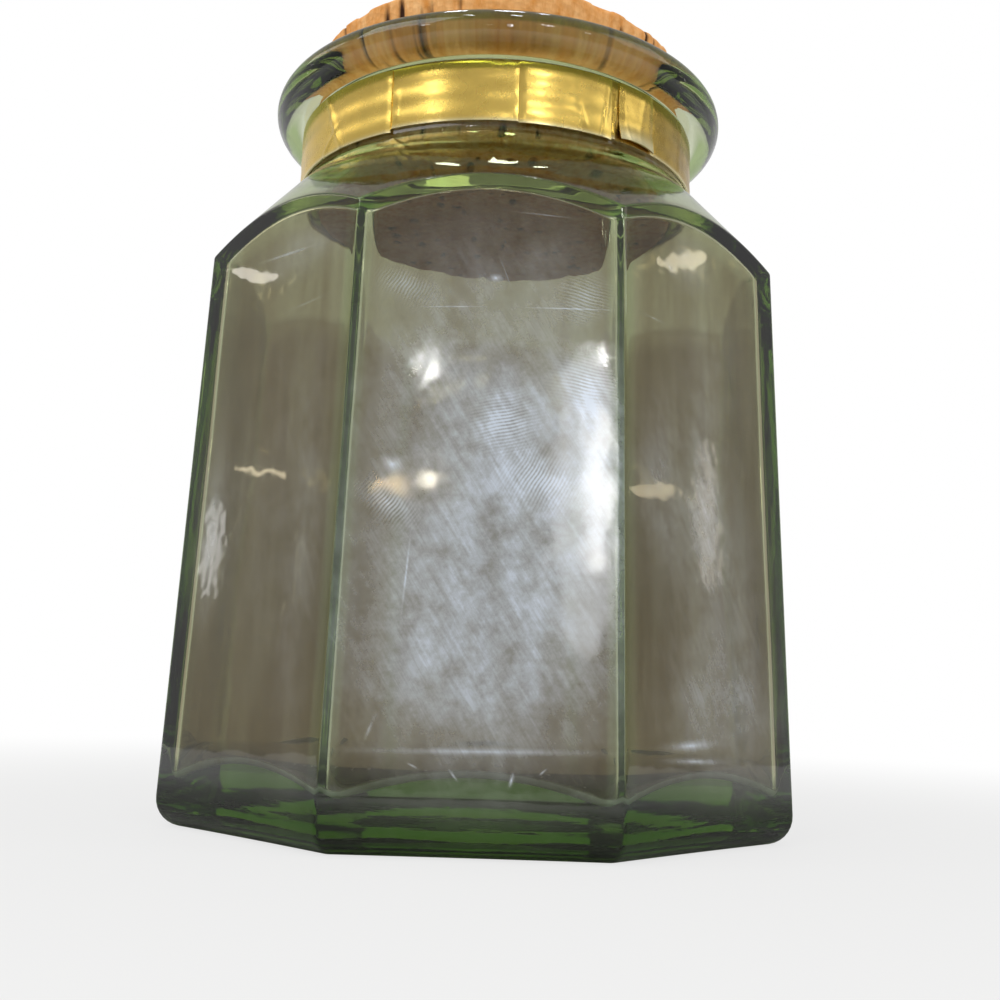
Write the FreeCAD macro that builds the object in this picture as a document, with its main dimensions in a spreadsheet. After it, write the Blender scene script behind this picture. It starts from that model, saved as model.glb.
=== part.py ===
import FreeCAD, Part
import math
import os
import re
import Sketcher

# Eight-sided glass jar with a tapered cork and a band of foil strips round its neck.
# Millimetres, +Z up. The foot stands on Z = 0, and the jar's axis is X = Y = 0.
# The front panel faces -Y. The foil's angles run from the front, positive to the right.

# Driving sizes: alias, value, what it measures.
SIZES = (
    ("base_flats", 100.0, "width across the flats at the foot"),
    ("panel_draft", 1.94, "lean of the panels towards the axis, degrees"),
    ("shoulder_height", 93.0, "height of the ridges"),
    ("ridge_round", 1.2, "rounding along the ridges"),
    ("heel_round", 4.5, "rounding round the foot"),
    ("foot_ring", 13.0, "width of the foot outside the hollow under it"),
    ("pushup_depth", 3.0, "depth of the hollow under the foot"),
    ("shoulder_pitch", 48.2, "slope of the shoulder, degrees"),
    ("arch_round", 1.0, "rounding where a panel meets the shoulder"),
    ("mouth_radius", 32.7, "radius of the bore at the top of the rim"),
    ("mouth_round", 1.2, "rounding at the inside of the rim"),
    ("neck_wall", 2.6, "thickness of the neck at the mouth"),
    ("neck_height", 11.3, "height of the neck, from the shoulder to the rim"),
    ("neck_round", 3.0, "hollow rounding between shoulder and neck"),
    ("rim_reach", 5.5, "how far the rolled rim stands out from the neck"),
    ("rim_bead", 3.45, "section radius of the rolled rim"),
    ("wall", 4.0, "thickness of the panels and the shoulder"),
    ("inner_round", 4.0, "rounding of the upright corners inside"),
    ("floor_crown", 11.9, "height of the middle of the inside floor"),
    ("floor_fall", 0.7, "fall of the inside floor from its middle to its edge"),
    ("floor_margin", 2.7, "width of the floor's steep edge along a panel"),
    ("floor_edge_pitch", 43.0, "slope of the floor's steep edge, degrees"),
    ("cork_stand", 7.6, "how far the cork stands out of the mouth"),
    ("cork_depth", 21.5, "how far the cork reaches into the mouth"),
    ("cork_taper", 5.1, "lean of the cork's side, degrees"),
    ("cork_round", 1.0, "worn rounding of the cork's edges"),
    ("cork_clearance", 0.15, "gap between the cork and the bore"),
    ("band_rise", 1.1, "gap between the shoulder and the band"),
    ("band_gap", 0.3, "gap between the band and the rim"),
    ("foil", 0.25, "thickness of a foil strip"),
    ("glue", 0.05, "glue line under a foil strip"),
    ("foil_strip_left_start", -165.5, "angle of the left strip's end at the back, degrees"),
    ("foil_strip_left_finish", -28.2, "angle of the left strip's end at the front, degrees"),
    ("foil_strip_left_drop", 0.8, "how far the left strip hangs below the band"),
    ("foil_strip_front_left_start", -33.0, "angle of the front left strip's left end, degrees"),
    ("foil_strip_front_left_finish", 7.5, "angle of the front left strip's right end, degrees"),
    ("foil_strip_front_left_drop", 0.1, "how far the front left strip hangs below the band"),
    ("foil_strip_front_right_start", 5.8, "angle of the front right strip's left end, degrees"),
    ("foil_strip_front_right_finish", 31.5, "angle of the front right strip's right end, degrees"),
    ("foil_strip_front_right_drop", 0.4, "how far the front right strip hangs below the band"),
    ("foil_strip_right_start", 29.5, "angle of the right strip's end at the front, degrees"),
    ("foil_strip_right_finish", 200.0, "angle of the right strip's end at the back, degrees"),
    ("foil_strip_right_drop", 0.1, "how far the right strip hangs below the band"),
    ("foil_patch_start", 34.0, "angle of the patch's left end, degrees"),
    ("foil_patch_finish", 46.8, "angle of the patch's right end, degrees"),
    ("lift_height", 3.6, "height of the patch's lifted lower edge"),
    ("lift_reach", 1.0, "how far the patch's lower edge stands off"),
    ("overrun", 5.0, "how far a cutting shape passes the glass"),
)
ALIASES = {alias for alias, _, _ in SIZES}

# Foil strips and the layer that each lies on: 0 on the glass, 1 over another strip.
STRIP_LAYERS = {
    "foil_strip_left": 1,
    "foil_strip_front_left": 0,
    "foil_strip_front_right": 1,
    "foil_strip_right": 0,
}
PATCH_LAYER = 1

SIDES = 8
HALF_SIDE = 180 / SIDES
# Azimuth of the front panel, from +X.
FRONT = 270
# How near to level an edge or a face lies that counts as level.
NEAR = 0.001

# Sizes that follow from the driving ones, as expressions on the sheet's aliases.
FOOT_RADIUS = f"(base_flats / 2 / cos({HALF_SIDE}))"
RIDGE_RADIUS = f"((base_flats / 2 - shoulder_height * tan(panel_draft)) / cos({HALF_SIDE}))"
NECK_RADIUS = "(mouth_radius + neck_wall)"
NECK_BASE = f"(shoulder_height + ({RIDGE_RADIUS} - {NECK_RADIUS}) * tan(shoulder_pitch))"
RIM_BOTTOM = f"({NECK_BASE} + neck_height)"
RIM_MIDDLE = f"({RIM_BOTTOM} + rim_bead)"
RIM_TOP = f"({RIM_MIDDLE} + rim_bead)"
RIM_RADIUS = f"({NECK_RADIUS} + rim_reach)"
RIM_CENTRE = f"({RIM_RADIUS} - rim_bead)"
# The bore narrows downwards as the cork does: its radius on the plane of the foot, and under its lip.
BORE_ROOT = f"(mouth_radius - {RIM_TOP} * tan(cork_taper))"
BORE_TOP = "(mouth_radius - mouth_round * tan(cork_taper))"
# The inside of the shoulder is a cone, one wall below the outside: its height on the axis.
CONE_TOP = (f"(shoulder_height + {RIDGE_RADIUS} * tan(shoulder_pitch)"
            " - wall / cos(shoulder_pitch))")
# Radius where the inside of the shoulder runs into the bore.
BORE_START = (f"(({BORE_ROOT} + {CONE_TOP} * tan(cork_taper))"
              " / (1 + tan(shoulder_pitch) * tan(cork_taper)))")
# Radius and height where the inside floor turns down.
FLOOR_EDGE = "(base_flats / 2 - wall - floor_margin)"
FLOOR_EDGE_HEIGHT = "(floor_crown - floor_fall)"
# The hollow under the foot, part of a sphere: its radius at the foot, and the sphere's.
PUSHUP_RADIUS = "(base_flats / 2 - foot_ring)"
PUSHUP_SPHERE = f"(({PUSHUP_RADIUS} ^ 2 + pushup_depth ^ 2) / (2 * pushup_depth))"
# The cork: the heights of its ends, and their radii one clearance inside the bore's taper.
CORK_BOTTOM = f"({RIM_TOP} - cork_depth)"
CORK_TOP = f"({RIM_TOP} + cork_stand)"
CORK_BOTTOM_RADIUS = "(mouth_radius - cork_clearance - cork_depth * tan(cork_taper))"
CORK_TOP_RADIUS = "(mouth_radius - cork_clearance + cork_stand * tan(cork_taper))"
BAND_BOTTOM = f"({NECK_BASE} + band_rise)"
BAND_TOP = f"({RIM_BOTTOM} - band_gap)"

COUNTERCLOCKWISE, CLOCKWISE = 1, -1

doc = FreeCAD.newDocument("cork_jar")
sheet = doc.addObject("Spreadsheet::Sheet", "Sizes")


def write_sheet():
    """Give each driving size a row: what it measures, and its value under its alias."""
    for row, (alias, size, meaning) in enumerate(SIZES, start=1):
        sheet.set(f"A{row}", meaning)
        sheet.set(f"B{row}", str(size))
        sheet.setAlias(f"B{row}", alias)
    doc.recompute()


def on_sheet(expression):
    """Put the sheet's name before each alias in an expression."""
    return re.sub("[a-z_]+", lambda word: "Sizes." + word[0] if word[0] in ALIASES else word[0], expression)


def value(expression):
    """Work out an expression on the sheet's sizes."""
    result = sheet.evalExpression(on_sheet(expression))
    return float(getattr(result, "Value", result))


def bind(target, name, expression):
    """Tie a property or a constraint to the sheet."""
    target.setExpression(name, on_sheet(expression))


def arc_between(start, end, radius, turn):
    """The shorter arc of a radius from start to end, turning counterclockwise or clockwise."""
    chord = end - start
    rise = math.sqrt(radius ** 2 - (chord.Length / 2) ** 2)
    left = FreeCAD.Vector(-chord.y, chord.x, 0).normalize()
    centre = start + chord / 2 + left * (rise * turn)
    circle = Part.Circle(centre, FreeCAD.Vector(0, 0, 1), radius)
    first, last = (start, end) if turn == COUNTERCLOCKWISE else (end, start)
    return Part.ArcOfCircle(circle, circle.parameter(first), circle.parameter(last))


def own_plane(body, role):
    """One of a body's own origin planes."""
    return next(feature for feature in body.Origin.OriginFeatures if feature.Role == role)


def draw_outline(body, role, name, corners):
    """Draw a closed outline on one of a body's own planes and tie it to the sheet.

    A corner is its two places as expressions. Two more entries, a radius and a turn, make the
    stretch to the next corner an arc.
    """
    sketch = body.newObject("Sketcher::SketchObject", name)
    sketch.AttachmentSupport = [(own_plane(body, role), "")]
    sketch.MapMode = "FlatFace"
    places = [FreeCAD.Vector(value(corner[0]), value(corner[1]), 0) for corner in corners]
    # Which end of each stretch is its start: 1, or 2 on an arc that turns clockwise.
    starts = []
    for index, corner in enumerate(corners):
        start, end = places[index], places[(index + 1) % len(places)]
        is_arc = len(corner) > 2
        turn = corner[3] if is_arc else COUNTERCLOCKWISE
        shape = arc_between(start, end, value(corner[2]), turn) if is_arc else Part.LineSegment(start, end)
        sketch.addGeometry(shape, False)
        starts.append(1 if turn == COUNTERCLOCKWISE else 2)
    for index in range(len(corners)):
        following = (index + 1) % len(corners)
        end = 3 - starts[index]
        sketch.addConstraint(Sketcher.Constraint("Coincident", index, end, following, starts[following]))
    for index, corner in enumerate(corners):
        for axis, place, kind in ((-2, corner[0], "DistanceX"), (-1, corner[1], "DistanceY")):
            if place == "0":
                sketch.addConstraint(Sketcher.Constraint("PointOnObject", index, starts[index], axis))
            else:
                size = Sketcher.Constraint(kind, -1, 1, index, starts[index], value(place))
                bind(sketch, f"Constraints[{sketch.addConstraint(size)}]", place)
        if len(corner) > 2:
            size = Sketcher.Constraint("Radius", index, value(corner[2]))
            bind(sketch, f"Constraints[{sketch.addConstraint(size)}]", corner[2])
    return sketch


def draw_octagon(body, name, flats):
    """Draw a regular octagon on the foot's plane from its width across the flats."""
    turns = [HALF_SIDE + 2 * HALF_SIDE * side for side in range(SIDES)]
    radius = f"({flats}) / 2 / cos({HALF_SIDE})"
    corners = [(f"{radius} * cos({turn})", f"{radius} * sin({turn})") for turn in turns]
    return draw_outline(body, "XY_Plane", name, corners)


def raise_octagon(body, name, flats, height):
    """Raise an octagonal block from the foot's plane, and lean its sides in by the panels' draft."""
    block = body.newObject("PartDesign::Pad", name)
    block.Profile = draw_octagon(body, name + "_outline", flats)
    bind(block, "Length", height)
    doc.recompute()
    sides = [f"Face{index}" for index, face in enumerate(block.Shape.Faces, start=1)
             if face.BoundBox.ZLength > NEAR]
    leaning = body.newObject("PartDesign::Draft", name + "_draft")
    leaning.Base = (block, sides)
    leaning.NeutralPlane = (own_plane(body, "XY_Plane"), [""])
    bind(leaning, "Angle", "panel_draft")
    doc.recompute()
    return leaning


def spin(body, kind, name, corners, angle=None):
    """Turn an outline on the XZ plane round the jar's axis: a full turn, or an angle."""
    feature = body.newObject(kind, name)
    feature.Profile = draw_outline(body, "XZ_Plane", name + "_outline", corners)
    feature.ReferenceAxis = (feature.Profile[0], ["V_Axis"])
    if angle:
        bind(feature, "Angle", angle)
    doc.recompute()
    return feature


def round_edges(body, name, base, radius, wanted):
    """Round the edges of a feature that a test picks."""
    edges = [f"Edge{index}" for index, edge in enumerate(base.Shape.Edges, start=1) if wanted(edge)]
    if not edges:
        raise RuntimeError(f"{name} finds no edge")
    rounding = body.newObject("PartDesign::Fillet", name)
    rounding.Base = (base, edges)
    bind(rounding, "Radius", radius)
    doc.recompute()
    return rounding


def is_level(edge, height):
    """True for an edge that lies level at a height."""
    box = edge.BoundBox
    return abs(box.ZMin - value(height)) < NEAR and abs(box.ZMax - value(height)) < NEAR


def make_blank():
    """The outside of the glass, still solid: drafted octagon, coned shoulder, neck and rolled rim."""
    body = doc.addObject("PartDesign::Body", "jar_blank")
    block = raise_octagon(body, "panels", "base_flats", NECK_BASE)
    heel = round_edges(body, "heel", block, "heel_round", lambda edge: is_level(edge, "0"))
    middle = value("shoulder_height / 2")
    round_edges(body, "ridges", heel, "ridge_round", lambda edge: edge.BoundBox.ZLength > middle)
    outside = f"({FOOT_RADIUS} + overrun)"
    above = f"({NECK_BASE} + overrun)"
    slope_foot = f"shoulder_height + ({RIDGE_RADIUS} - {outside}) * tan(shoulder_pitch)"
    shoulder = spin(body, "PartDesign::Groove", "shoulder", (
        (outside, slope_foot), (outside, above), (NECK_RADIUS, above), (NECK_RADIUS, NECK_BASE)))
    half_shoulder = value(f"({NECK_BASE} - shoulder_height) / 2")

    def is_arch(edge):
        box = edge.BoundBox
        return box.ZMin > middle and box.ZLength < half_shoulder and not is_level(edge, NECK_BASE)

    round_edges(body, "arches", shoulder, "arch_round", is_arch)
    neck = spin(body, "PartDesign::Revolution", "neck_and_rim", (
        ("0", "shoulder_height"), (NECK_RADIUS, "shoulder_height"), (NECK_RADIUS, RIM_BOTTOM),
        (RIM_CENTRE, RIM_BOTTOM, "rim_bead", COUNTERCLOCKWISE),
        (RIM_RADIUS, RIM_MIDDLE, "rim_bead", COUNTERCLOCKWISE),
        (RIM_CENTRE, RIM_TOP), ("0", RIM_TOP)))
    round_edges(body, "neck_foot", neck, "neck_round", lambda edge: is_level(edge, NECK_BASE))
    spin(body, "PartDesign::Groove", "pushup", (
        ("0", "-overrun"), (PUSHUP_RADIUS, "-overrun"),
        (PUSHUP_RADIUS, "0", PUSHUP_SPHERE, COUNTERCLOCKWISE), ("0", "pushup_depth")))
    return body


def make_round_hollow():
    """The inside turned round the axis: domed floor, shoulder, and a bore tapered like the cork."""
    body = doc.addObject("PartDesign::Body", "round_hollow")
    floor_foot = f"{FLOOR_EDGE_HEIGHT} - ({FOOT_RADIUS} - {FLOOR_EDGE}) * tan(floor_edge_pitch)"
    lip = f"({BORE_TOP} + mouth_round)"
    above = f"({RIM_TOP} + overrun)"
    spin(body, "PartDesign::Revolution", "hollow", (
        ("0", "floor_crown"), (FLOOR_EDGE, FLOOR_EDGE_HEIGHT), (FOOT_RADIUS, floor_foot),
        (FOOT_RADIUS, f"{CONE_TOP} - {FOOT_RADIUS} * tan(shoulder_pitch)"),
        (BORE_START, f"{CONE_TOP} - {BORE_START} * tan(shoulder_pitch)"),
        (BORE_TOP, f"{RIM_TOP} - mouth_round", "mouth_round", CLOCKWISE), (lip, RIM_TOP),
        (lip, above), ("0", above)))
    return body


def make_panel_hollow():
    """The inside between the panels: an octagon one wall in, with rounded upright corners."""
    body = doc.addObject("PartDesign::Body", "panel_hollow")
    block = raise_octagon(body, "inner_panels", "base_flats - 2 * wall", f"{RIM_TOP} + overrun")
    middle = value("shoulder_height / 2")
    round_edges(body, "inner_corners", block, "inner_round", lambda edge: edge.BoundBox.ZLength > middle)
    return body


def make_glass_jar():
    """The glass: the blank, hollowed by what its round inside and its panelled inside share."""
    hollow = doc.addObject("Part::Common", "hollow_common")
    hollow.Base = make_round_hollow()
    hollow.Tool = make_panel_hollow()
    jar = doc.addObject("Part::Cut", "glass_jar")
    jar.Base = make_blank()
    jar.Tool = hollow
    return jar


def make_cork():
    """The tapered cork, with worn edges."""
    body = doc.addObject("PartDesign::Body", "cork_stopper")
    plug = spin(body, "PartDesign::Revolution", "plug", (
        ("0", CORK_BOTTOM), (CORK_BOTTOM_RADIUS, CORK_BOTTOM),
        (CORK_TOP_RADIUS, CORK_TOP), ("0", CORK_TOP)))
    round_edges(body, "worn_edges", plug, "cork_round",
                lambda edge: is_level(edge, CORK_BOTTOM) or is_level(edge, CORK_TOP))
    return body


def layer_radius(layer):
    """Inside radius of a layer of foil, as an expression."""
    return f"({NECK_RADIUS} + glue + {layer} * (foil + glue))"


def wrap_foil(label, section):
    """Turn a foil section from its start angle to its finish, round the neck."""
    body = doc.addObject("PartDesign::Body", label)
    spin(body, "PartDesign::Revolution", label + "_wrap", section, f"{label}_finish - {label}_start")
    body.Placement.Rotation = FreeCAD.Rotation(FreeCAD.Vector(0, 0, 1), FRONT)
    bind(body, "Placement.Rotation.Angle", f"{FRONT} + {label}_start")
    return body


def make_strip(label, layer):
    """A flat foil strip, from its lower edge to the top of the band."""
    inside = layer_radius(layer)
    outside = f"{inside} + foil"
    lower = f"{BAND_BOTTOM} - {label}_drop"
    return wrap_foil(label, (
        (inside, lower), (outside, lower), (outside, BAND_TOP), (inside, BAND_TOP)))


def make_patch():
    """The small patch, whose lower edge has come away from the strip under it."""
    inside = layer_radius(PATCH_LAYER)
    outside = f"{inside} + foil"
    crease = f"{BAND_BOTTOM} + lift_height"
    return wrap_foil("foil_patch", (
        (f"{inside} + lift_reach", BAND_BOTTOM), (f"{outside} + lift_reach", BAND_BOTTOM),
        (outside, crease), (outside, BAND_TOP), (inside, BAND_TOP), (inside, crease)))


def check_document():
    """Stop at any failed object, and at any sub-part whose shape is missing or not valid."""
    for item in doc.Objects:
        if "Invalid" in item.State or "Error" in item.State:
            raise RuntimeError(f"{item.Label} failed: {item.State}")
    for part in parts:
        if part.Shape.isNull() or not part.Shape.isValid() or not part.Shape.Solids:
            raise RuntimeError(f"{part.Label} has no valid shape")


write_sheet()
parts = [make_glass_jar(), make_cork(), make_patch()]
parts += [make_strip(label, layer) for label, layer in STRIP_LAYERS.items()]
doc.recompute()
check_document()

os.makedirs("parts", exist_ok=True)
for part in parts:
    part.Shape.exportStep(f"parts/{part.Label}.step")
    print(part.Label, len(part.Shape.Solids), round(part.Shape.Volume, 1), part.Shape.BoundBox)
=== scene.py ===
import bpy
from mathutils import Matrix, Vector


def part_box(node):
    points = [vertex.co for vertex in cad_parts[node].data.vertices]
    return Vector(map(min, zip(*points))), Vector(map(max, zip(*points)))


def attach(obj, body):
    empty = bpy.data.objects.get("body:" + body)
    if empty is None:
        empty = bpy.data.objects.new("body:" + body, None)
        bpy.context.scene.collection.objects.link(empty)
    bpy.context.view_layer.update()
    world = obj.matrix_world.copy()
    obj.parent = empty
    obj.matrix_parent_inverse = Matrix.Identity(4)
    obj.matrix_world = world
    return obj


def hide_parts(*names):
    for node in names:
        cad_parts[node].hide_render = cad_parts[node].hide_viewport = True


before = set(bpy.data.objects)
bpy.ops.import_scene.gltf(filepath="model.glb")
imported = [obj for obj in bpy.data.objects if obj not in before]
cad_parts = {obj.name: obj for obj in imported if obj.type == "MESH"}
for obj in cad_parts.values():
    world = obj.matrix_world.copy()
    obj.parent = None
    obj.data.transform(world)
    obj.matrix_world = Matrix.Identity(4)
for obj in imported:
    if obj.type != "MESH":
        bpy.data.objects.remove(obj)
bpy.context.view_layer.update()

import math
from functools import partial

import bpy
import numpy as np
from mathutils import Matrix, Vector

# Dresses an eight-sided jar: its pressed glass, its cork and the foil strips round its neck.
# Metres, +Z up. The front panel faces -Y. Angles run from the front, positive to the right.

bl_info = {
    "name": "Cork-stoppered glass jar",
    "version": (1, 0, 0),
    "blender": (4, 5, 0),
    "location": "View3D > Sidebar > Jar",
    "description": "Builds the glass, cork and foil band of an eight-sided jar round its CAD frame",
    "category": "Object",
}

MM = 0.001
SIDES = 8
HALF_SIDE = math.pi / SIDES
# Azimuth of the front panel, from +X.
FRONT = -math.pi / 2

GLASS_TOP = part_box("glass_jar")[1].z
CORK_LOW, CORK_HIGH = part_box("cork_stopper")


def linear(hex_colour):
    """Turn an sRGB hex colour into linear red, green, blue and a full alpha."""
    shares = [int(hex_colour[start:start + 2], 16) / 255 for start in (1, 3, 5)]
    return [((share + 0.055) / 1.055) ** 2.4 if share > 0.04045 else share / 12.92
            for share in shares] + [1.0]


def length(name, millimetres, description):
    """A length that a user can change, written in millimetres."""
    return bpy.props.FloatProperty(
        name=name, description=description, default=millimetres * MM, unit="LENGTH", precision=5)


def angle(name, degrees, description):
    """An angle that a user can change, written in degrees."""
    return bpy.props.FloatProperty(
        name=name, description=description, default=math.radians(degrees), subtype="ANGLE")


def colour(name, hex_colour, description):
    """A colour that a user can change, written as sRGB hex."""
    return bpy.props.FloatVectorProperty(
        name=name, description=description, default=linear(hex_colour), size=4, subtype="COLOR",
        min=0.0, max=1.0)


class JarGlass(bpy.types.PropertyGroup):
    """Sizes and colours of the glass."""

    base_flats: length("Base width", 100, "Width across the flats at the foot")
    panel_draft: angle("Panel draft", 1.94, "Lean of the panels towards the axis")
    shoulder_height: length("Shoulder height", 93, "Height of the ridges")
    ridge_round: length("Ridge rounding", 1.2, "Rounding along the ridges")
    heel_round: length("Heel rounding", 4.5, "Rounding round the foot")
    foot_ring: length("Foot ring", 13, "Width of the foot outside the hollow under it")
    pushup_depth: length("Push-up", 3, "Depth of the hollow under the foot")
    shoulder_pitch: angle("Shoulder pitch", 48.2, "Slope of the shoulder")
    arch_round: length("Arch rounding", 1, "Rounding where a panel meets the shoulder")
    mouth_radius: length("Mouth radius", 32.7, "Radius of the bore at the top of the rim")
    mouth_round: length("Mouth rounding", 1.2, "Rounding at the inside of the rim")
    neck_wall: length("Neck wall", 2.6, "Thickness of the neck at the mouth")
    neck_round: length("Neck rounding", 3, "Hollow rounding between shoulder and neck")
    rim_reach: length("Rim reach", 5.5, "How far the rolled rim stands out from the neck")
    rim_bead: length("Rim bead", 3.45, "Section radius of the rolled rim")
    rim_root: length("Rim root", 0.4, "Rounding under the rim")
    bore_taper: angle("Bore taper", 5.1, "Lean of the bore, the same as the cork's")
    wall: length("Wall", 4, "Thickness of the panels and the shoulder")
    inner_round: length("Inner corners", 4, "Rounding of the upright corners inside")
    inner_arch_round: length("Inner arches", 1.6, "Rounding inside where a panel meets the shoulder")
    throat_round: length("Throat rounding", 2, "Rounding where the shoulder runs into the bore")
    floor_crown: length("Floor crown", 11.9, "Height of the middle of the inside floor")
    floor_fall: length("Floor fall", 0.7, "Fall of the inside floor from its middle to its edge")
    floor_margin: length("Floor margin", 2.7, "Width of the floor's steep edge along a panel")
    floor_edge_pitch: angle("Floor edge pitch", 43, "Slope of the floor's steep edge")
    floor_round: length("Floor rounding", 1.2, "Rounding along the floor's edge")
    waviness: length("Waviness", 0.1, "How far the inside strays from its planes, as pressed glass does")
    tint: colour("Tint", "#E2E4D8", "Colour that light takes on at a clean surface")
    # The bloom colour is partly the dullness of aged glass and partly painted shade, the darker tone of dark
    # surroundings seen through the panels.
    bloom_and_shade_colour: colour("Bloom", "#92846C", "Colour that light takes on at a panel gone dull with age")
    depth_colour: colour("Depth colour", "#B7D158", "Colour that light takes on inside the glass")
    # The edge colour is painted shade: the darker green that thick glass shows edge-on, laid on the ridges,
    # the foot, the inside floor and the top of the rim.
    edge_shade_colour: colour("Edge colour", "#729240", "Colour of the glass along its ridges and foot")
    film_colour: colour("Film colour", "#D3DDEA", "Colour of the hazy film on the panels")


class JarCork(bpy.types.PropertyGroup):
    """Sizes and colours of the cork."""

    taper: angle("Taper", 5.1, "Lean of the cork's side")
    bottom_round: length("Bottom rounding", 1, "Worn rounding of the lower edge")
    top_round: length("Top rounding", 0.7, "Worn rounding of the upper edge where it is whole")
    chip_round: length("Chip size", 3.2, "Rounding of the upper edge where it is most chipped")
    pit_depth: length("Pit depth", 0.7, "Depth of the deepest pores")
    light: colour("Light cork", "#FBC384", "Colour of the pale grain")
    dark: colour("Dark cork", "#DE9346", "Colour of the dark grain")
    pore: colour("Pore", "#3B1F0E", "Colour inside the pores")
    # Painted light: the lower end and the side inside the neck are painted paler, standing in for the light
    # that reaches them only through the glass.
    cork_painted_light: colour("Underside", "#FFD9A8", "Colour of the lower end, which nobody handles")


class JarFoil(bpy.types.PropertyGroup):
    """Sizes and colours of the foil strips."""

    glue: length("Glue", 0.05, "Glue line under a strip")
    thickness: length("Thickness", 0.28, "Thickness of a strip with its lacquer and glue")
    layer: length("Layer", 0.3, "Distance from one layer of foil to the next")
    roll_height: length("Roll height", 0.07, "Height of the three shallow rolls along a strip")
    wrinkle: length("Wrinkle", 0.03, "Height of the wrinkles")
    cut_edge: length("Cut edge width", 0.35, "Width of the pale line along a strip's lower edge")
    lift_height: length("Lift height", 3.6, "Height of the patch's lifted lower edge")
    lift_reach: length("Lift reach", 1.0, "How far the patch's lower edge stands off")
    gold: colour("Gold", "#F5D26E", "Colour of the lacquered foil")
    # The gold shade is partly dull patches from handling and partly painted shade, laid heaviest on the
    # strips to the right.
    shade: colour("Gold shade", "#987C32", "Colour of the foil where it is dull")
    # The cut edge's colour is also laid over the patch's lifted edge as a painted highlight.
    edge: colour("Cut edge", "#F3E6B4", "Colour of the cut lower edge")


class JarStage(bpy.types.PropertyGroup):
    """The camera and the light."""

    camera_place: bpy.props.FloatVectorProperty(
        name="Camera", description="Where the camera stands", subtype="TRANSLATION", unit="LENGTH",
        default=(3.04 * MM, -215.88 * MM, 22.96 * MM), precision=5)
    camera_yaw: angle("Yaw", -0.143, "Turn of the camera to the right")
    camera_pitch: angle("Pitch", 8.763, "How far the camera looks up")
    camera_roll: angle("Roll", 1.778, "Tilt of the camera about its line of sight")
    focal_length: bpy.props.FloatProperty(
        name="Focal length", description="Lens of the camera, for a sensor 36 mm wide", default=43.83,
        unit="CAMERA")
    sky_level: bpy.props.FloatProperty(
        name="Sky level", description="Strength of the light from all round", default=0.85, min=0.0)
    floor_radius: length("Floor radius", 700, "Radius of the pale floor")
    floor_colour: colour("Floor", "#B0B0AE", "Colour of the pale floor")


def place_piece(name, points, face_sets, material):
    """Make a mesh object at the origin from points and arrays of faces, smooth all over."""
    mesh = bpy.data.meshes.new(name)
    loops = np.concatenate([faces.ravel() for faces in face_sets])
    sizes = np.concatenate([np.full(len(faces), faces.shape[1]) for faces in face_sets])
    starts = np.cumsum(sizes) - sizes
    mesh.vertices.add(len(points))
    mesh.vertices.foreach_set("co", points.astype(np.float32).ravel())
    mesh.loops.add(len(loops))
    mesh.loops.foreach_set("vertex_index", loops.astype(np.int32))
    mesh.polygons.add(len(sizes))
    mesh.polygons.foreach_set("loop_start", starts.astype(np.int32))
    mesh.polygons.foreach_set("use_smooth", np.ones(len(sizes), bool))
    mesh.update(calc_edges=True)
    if mesh.validate():
        raise RuntimeError(f"{name} has faces that can't stand")
    mesh.materials.append(material)
    piece = bpy.data.objects.new(name, mesh)
    bpy.context.scene.collection.objects.link(piece)
    return piece


def give_attribute(piece, name, values):
    """Store a number or a vector for each of a piece's points, under a name that its material reads."""
    kind, field = ("FLOAT_VECTOR", "vector") if values.ndim == 2 else ("FLOAT", "value")
    attribute = piece.data.attributes.new(name, kind, "POINT")
    attribute.data.foreach_set(field, values.astype(np.float32).ravel())


def grid_quads(rows, columns, wrap_rows=False, wrap_columns=False):
    """Faces of a grid of points, for a viewer who sees its columns run to the right and its rows rise."""
    row, column = np.meshgrid(
        np.arange(rows if wrap_rows else rows - 1), np.arange(columns if wrap_columns else columns - 1),
        indexing="ij")
    above, beside = (row + 1) % rows, (column + 1) % columns
    corners = ((row, column), (row, beside), (above, beside), (above, column))
    return np.stack([r * columns + c for r, c in corners], axis=-1).reshape(-1, 4)


def fan(pole, ring):
    """Triangles from a pole to each stretch of a closed ring of points."""
    return np.stack((np.full(len(ring), pole), ring, np.roll(ring, -1)), axis=-1)


def turned_faces(rows, columns):
    """Faces of a closed turned shape: a grid that wraps round, with a pole under it and one over it."""
    first_row = np.arange(columns)
    last_row = first_row + (rows - 1) * columns
    poles = np.concatenate((fan(rows * columns, first_row[::-1]), fan(rows * columns + 1, last_row)))
    return [grid_quads(rows, columns, wrap_columns=True), poles]


def turn_profile(profile, azimuths):
    """Carry radius and height round the axis: x = r cos a, y = r sin a, z = h, for each row and azimuth."""
    radius, height = profile[..., 0], profile[..., 1]
    return np.stack((radius * np.cos(azimuths), radius * np.sin(azimuths), height), axis=-1)


def unit(vectors):
    """Vectors of length one, or zero where there is no direction."""
    size = np.linalg.norm(vectors, axis=-1, keepdims=True)
    return vectors / np.maximum(size, 1e-12)


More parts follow.
